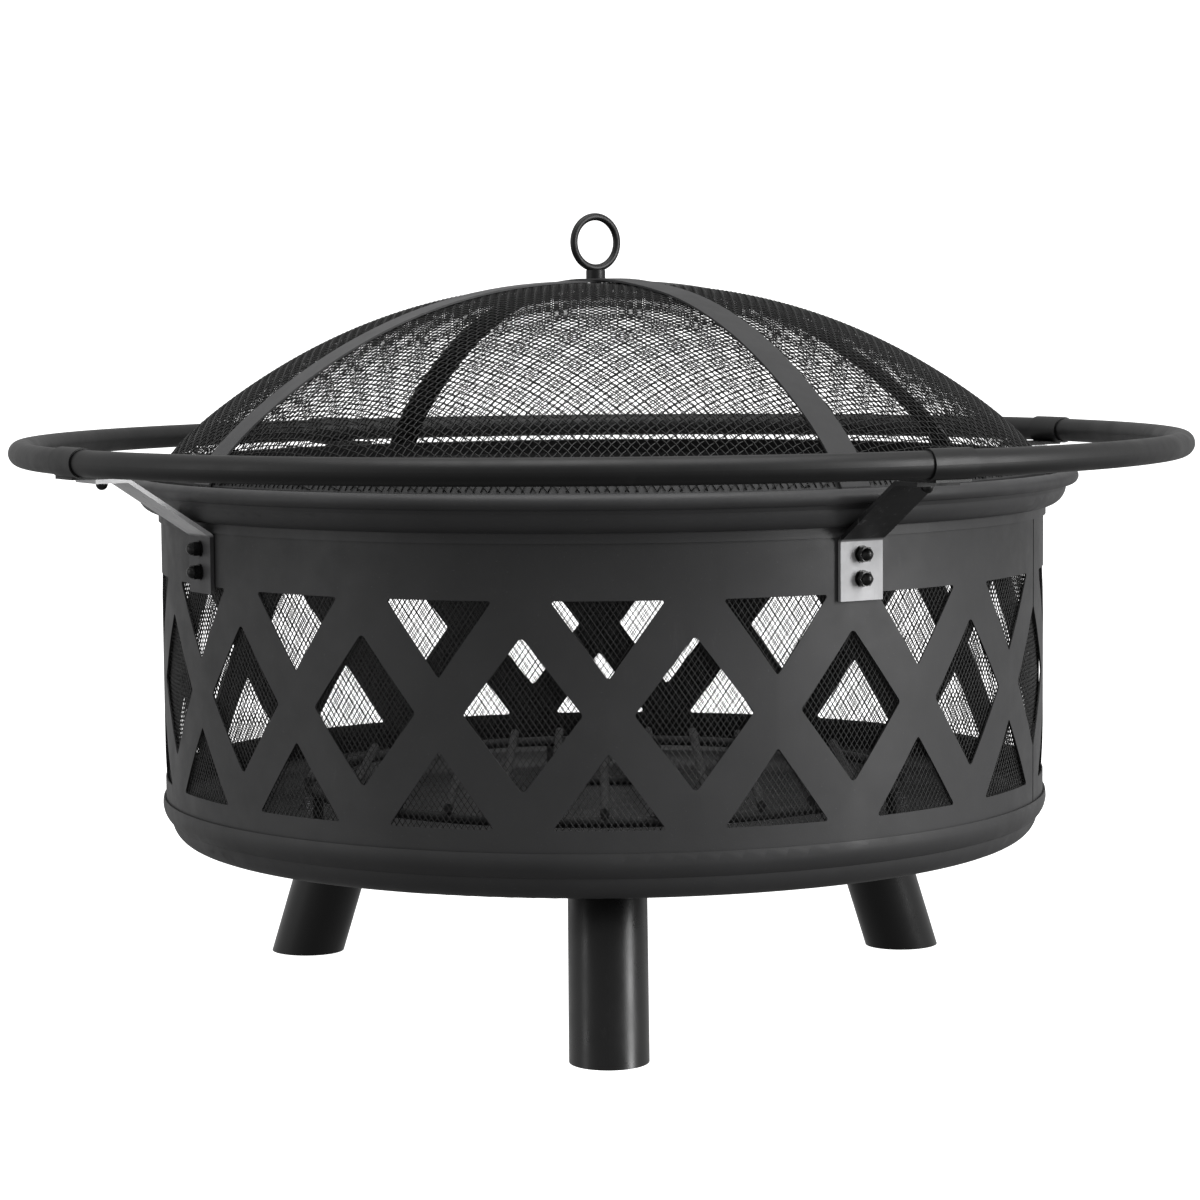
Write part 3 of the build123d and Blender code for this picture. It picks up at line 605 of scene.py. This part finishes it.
class FIREPIT_OT_stage(Operator):
    """Pale floor, white room, softboxes and the camera"""

    bl_idname = "firepit.stage"
    bl_label = "Stage"

    def execute(self, context):
        stage = context.scene.firepit_stage
        self.set_floor(stage)
        self.set_room(context.scene, stage)
        self.set_lights(stage)
        self.set_camera(context.scene, stage)
        return {"FINISHED"}

    def set_floor(self, stage):
        """A large pale floor just under the feet.

        It is only seen: the room's own ground light stands in for its glare and shade.
        """
        mesh = bpy.data.meshes.new("floor")
        signs = ((-1, -1), (1, -1), (1, 1), (-1, 1))
        corners = [(x * FLOOR_REACH, y * FLOOR_REACH, 0) for x, y in signs]
        mesh.from_pydata(corners, [], [(0, 1, 2, 3)])
        desk = NodeDesk("pale floor")
        clouds = desk.noise(scale=3.0)
        desk.colour(desk.blend(clouds, (0.42, 0.42, 0.42), (0.48, 0.48, 0.48)))
        desk.shader.inputs["Roughness"].default_value = 0.9
        desk.shader.inputs["Specular IOR Level"].default_value = 0.2
        desk.shader.inputs["Emission Color"].default_value = WHITE
        desk.shader.inputs["Emission Strength"].default_value = stage.floor_glow
        mesh.materials.append(desk.material)
        floor = bpy.data.objects.new("floor", mesh)
        floor.visible_diffuse = False
        floor.visible_glossy = False
        floor.visible_shadow = False
        bpy.context.scene.collection.objects.link(floor)

    def set_room(self, scene, stage):
        """White light from all round, dimmer from the front, behind a plain white backdrop."""
        world = bpy.data.worlds.new("white room")
        world.use_nodes = True
        tree = world.node_tree
        place = tree.nodes.new("ShaderNodeTexCoord")
        split = tree.nodes.new("ShaderNodeSeparateXYZ")
        tree.links.new(place.outputs["Generated"], split.inputs["Vector"])
        room = tree.nodes.new("ShaderNodeMapRange")
        room.inputs["From Min"].default_value = -1.0
        room.inputs["From Max"].default_value = -0.1
        room.inputs["To Min"].default_value = stage.front_sky
        room.inputs["To Max"].default_value = stage.sky
        tree.links.new(split.outputs["Y"], room.inputs["Value"])
        ground = tree.nodes.new("ShaderNodeMapRange")
        ground.inputs["From Min"].default_value = -0.7
        ground.inputs["From Max"].default_value = -0.15
        ground.inputs["To Min"].default_value = stage.ground
        tree.links.new(split.outputs["Z"], ground.inputs["Value"])
        lit = tree.nodes.new("ShaderNodeMath")
        lit.operation = "MULTIPLY"
        tree.links.new(room.outputs["Result"], lit.inputs[0])
        tree.links.new(ground.outputs["Result"], lit.inputs[1])
        seen = tree.nodes.new("ShaderNodeLightPath")
        chooser = tree.nodes.new("ShaderNodeMix")
        chooser.inputs["B"].default_value = stage.backdrop
        tree.links.new(seen.outputs["Is Camera Ray"], chooser.inputs["Factor"])
        tree.links.new(lit.outputs["Value"], chooser.inputs["A"])
        background = tree.nodes["Background"]
        background.inputs["Color"].default_value = WHITE
        tree.links.new(chooser.outputs["Result"], background.inputs["Strength"])
        scene.world = world
        scene.view_settings.view_transform = "Standard"

    def set_lights(self, stage):
        """Two tall softboxes at the sides and a large one overhead."""
        target = Vector((0.0, 0.0, 0.28))
        boxes = (
            ("left softbox", (-2.6, -1.0, 1.0), 0.5, 1.9, stage.left_light),
            ("right softbox", (2.5, -1.25, 1.0), 0.7, 1.9, stage.right_light),
            ("top softbox", (0.0, -0.6, 2.6), 2.4, 1.8, stage.top_light),
        )
        for name, spot, width, height, power in boxes:
            light = bpy.data.lights.new(name, "AREA")
            light.shape = "RECTANGLE"
            light.size = width
            light.size_y = height
            light.energy = power
            lamp = bpy.data.objects.new(name, light)
            lamp.location = spot
            lamp.rotation_euler = (target - Vector(spot)).to_track_quat("-Z", "Y").to_euler()
            bpy.context.scene.collection.objects.link(lamp)

    def set_camera(self, scene, stage):
        """The camera in front of the pit, looking a little down and leaning a little."""
        data = bpy.data.cameras.new("camera")
        data.lens = stage.lens
        data.sensor_width = SENSOR_WIDTH
        data.clip_end = 100.0
        right = Vector((1.0, 0.0, 0.0))
        forward = Vector((0.0, math.cos(stage.camera_pitch), -math.sin(stage.camera_pitch)))
        up = right.cross(forward)
        cosine = math.cos(stage.camera_roll)
        sine = math.sin(stage.camera_roll)
        image_right = right * cosine - up * sine
        image_up = right * sine + up * cosine
        turn = Matrix((image_right, image_up, -forward)).transposed().to_4x4()
        spot = Vector((stage.camera_aside, -stage.camera_distance, stage.camera_height))
        camera = bpy.data.objects.new("camera", data)
        camera.matrix_world = Matrix.Translation(spot) @ turn
        scene.collection.objects.link(camera)
        scene.camera = camera


class FIREPIT_OT_dome_mesh(Operator):
    """Woven wire of the dome, in two crossing sets"""

    bl_idname = "firepit.dome_mesh"
    bl_label = "Dome mesh"

    def execute(self, context):
        shape = context.scene.firepit_dome
        colour = tuple(context.scene.firepit_finish.wire_paint)
        material = paint("dome wire paint", colour, 0.38, 0.55, worn=0.2, peel=0.1)
        for name, turn, phase in (
            ("dome_wires_one", shape.turn, 0),
            ("dome_wires_two", shape.turn + math.pi / 2, 1),
        ):
            points, faces = dome_wires(shape, turn, phase)
            mesh_piece(name, points, faces, material, "dome", "dome_mesh")
        return {"FINISHED"}


class FIREPIT_OT_liner_mesh(Operator):
    """Expanded mesh behind the wall's openings, in two crossing sets of strands"""

    bl_idname = "firepit.liner_mesh"
    bl_label = "Liner mesh"

    def execute(self, context):
        shape = context.scene.firepit_liner
        colour = tuple(context.scene.firepit_finish.wire_paint)
        # The liner's strands are painted four times lighter than the same black wire paint:
        # painted light, as if lit from the front.
        material = paint("liner wire paint", shade(colour, 4.0), 0.4, 0.6, worn=0.2, peel=0.1)
        for name, hand in (("liner_strands_one", 1), ("liner_strands_two", -1)):
            points, faces = liner_strands(shape, hand)
            mesh_piece(name, points, faces, material, "pit", "mesh_liner")
        return {"FINISHED"}


class FIREPIT_OT_wall_finish(Operator):
    """Satin charcoal paint on the wall, rim, pan and grate"""

    bl_idname = "firepit.wall_finish"
    bl_label = "Wall, rim and pan"

    def execute(self, context):
        finish = context.scene.firepit_finish
        wall = tuple(finish.wall_paint)
        # Inside the sheet's middle the wall paint is darkened: painted shade on the inside of the
        # pit.
        sheet_middle = liner_high.x + SHEET_MIDDLE_GAP
        wall_paint = paint("wall paint", shade(wall, 1.08), 0.46, 0.6, inner_shade_radius=sheet_middle)
        finish_nodes(["front_panel", "back_panel"], wall_paint)
        # The rim is painted lighter than the wall: painted light, offsetting the shade the rim
        # lies in.
        finish_nodes(["top_rim"], paint("rim paint", shade(wall, 1.25), 0.44, 0.58))
        finish_nodes(["base_pan"], paint("pan paint", wall, 0.44, 0.6))
        grate_paint = paint("grate paint", shade(wall, 0.6), 0.6, 0.8, worn=0.3, peel=0.5)
        finish_nodes(["grate_hoop", "grate_bars", "grate_feet"], grate_paint)
        return {"FINISHED"}


class FIREPIT_OT_tube_finish(Operator):
    """Glossier black paint on the ring tubes, legs and lifting ring"""

    bl_idname = "firepit.tube_finish"
    bl_label = "Ring tubes and legs"

    def execute(self, context):
        tube = tuple(context.scene.firepit_finish.tube_paint)
        ring_nodes = ["ring_tube_" + side for side in ("front", "right", "back", "left")]
        finish_nodes(ring_nodes, paint("ring paint", tube, 0.4, 0.52))
        leg_nodes = ["leg_front", "leg_right", "leg_left"]
        finish_nodes(leg_nodes, paint("leg paint", tube, 0.26, 0.38))
        finish_nodes(["handle_ring"], paint("lifting ring paint", shade(tube, 0.6), 0.35, 0.5))
        return {"FINISHED"}


class FIREPIT_OT_strap_finish(Operator):
    """Grey paint on the dome's straps and hoop, with painted light on the straps, and the
    brackets with a painted reflection
    """

    bl_idname = "firepit.strap_finish"
    bl_label = "Straps and brackets"

    def execute(self, context):
        finish = context.scene.firepit_finish
        strap = tuple(finish.strap_paint)
        wall = tuple(finish.wall_paint)
        sheen_grey = tuple(finish.bracket_sheen_grey)
        # One grey strap paint, painted lighter on the left strap and darker on the right: painted
        # light and painted shade.
        finish_nodes(["dome_strap_a"], paint("left strap paint", shade(strap, 1.8), 0.5, 0.65))
        finish_nodes(["dome_strap_b"], paint("right strap paint", shade(strap, 0.9), 0.5, 0.65))
        finish_nodes(["dome_hoop"], paint("hoop paint", wall, 0.5, 0.65))
        # Painted reflection: two brackets get a bright plate under a dark arm, the other two a
        # bright arm over a darker plate.
        plate_painted_reflection = sheen_painted_strap("plate painted reflection", upper=shade(wall, 0.5), lower=sheen_grey)
        arm_painted_reflection = sheen_painted_strap("arm painted reflection", upper=shade(sheen_grey, 1.75), lower=shade(wall, 2.4))
        finish_nodes(["bracket_front_right", "bracket_back_left"], plate_painted_reflection)
        finish_nodes(["bracket_front_left", "bracket_back_right"], arm_painted_reflection)
        return {"FINISHED"}


class FIREPIT_OT_fastener_finish(Operator):
    """Blackened outside fasteners and plated hidden ones"""

    bl_idname = "firepit.fastener_finish"
    bl_label = "Fasteners"

    def execute(self, context):
        black = plated_steel("blackened steel", (0.05, 0.05, 0.05), 0.25, 0.42)
        plated = plated_steel("plated steel", (0.4, 0.4, 0.41), 0.3, 0.45)
        outside = ["bracket_nuts", "bracket_washers", "ring_screws", "dome_rivets"]
        finish_nodes(outside, black)
        hidden = ["leg_bolts", "leg_nuts", "bracket_bolts", "handle_nut", "handle_washer"]
        finish_nodes(hidden, plated)
        return {"FINISHED"}


class FIREPIT_PT_sidebar(Panel):
    """Lists the pit's sizes, colours and making steps"""

    bl_idname = "FIREPIT_PT_sidebar"
    bl_label = "Fire pit"
    bl_space_type = "VIEW_3D"
    bl_region_type = "UI"
    bl_category = "Fire pit"

    def draw(self, context):
        column = self.layout.column()
        for group in GROUPS:
            settings = getattr(context.scene, GROUPS[group])
            for key in settings.bl_rna.properties.keys():
                if key not in ("rna_type", "name"):
                    column.prop(settings, key)
        for operator in OPERATORS:
            column.operator(operator.bl_idname)


GROUPS = {
    FIREPIT_PG_dome_wire: "firepit_dome",
    FIREPIT_PG_liner_wire: "firepit_liner",
    FIREPIT_PG_finish: "firepit_finish",
    FIREPIT_PG_stage: "firepit_stage",
}
OPERATORS = (
    FIREPIT_OT_stage,
    FIREPIT_OT_dome_mesh,
    FIREPIT_OT_liner_mesh,
    FIREPIT_OT_wall_finish,
    FIREPIT_OT_tube_finish,
    FIREPIT_OT_strap_finish,
    FIREPIT_OT_fastener_finish,
)


def register():
    """Registers the classes and the settings."""
    for group, place in GROUPS.items():
        bpy.utils.register_class(group)
        setattr(bpy.types.Scene, place, PointerProperty(type=group))
    for operator in OPERATORS:
        bpy.utils.register_class(operator)
    bpy.utils.register_class(FIREPIT_PT_sidebar)


def unregister():
    """Removes what register added."""
    bpy.utils.unregister_class(FIREPIT_PT_sidebar)
    for operator in reversed(OPERATORS):
        bpy.utils.unregister_class(operator)
    for group, place in GROUPS.items():
        delattr(bpy.types.Scene, place)
        bpy.utils.unregister_class(group)


def main():
    """Makes everything in order."""
    register()
    bpy.ops.firepit.stage()
    bpy.ops.firepit.dome_mesh()
    bpy.ops.firepit.liner_mesh()
    bpy.ops.firepit.wall_finish()
    bpy.ops.firepit.tube_finish()
    bpy.ops.firepit.strap_finish()
    bpy.ops.firepit.fastener_finish()


if __name__ == "__main__":
    main()
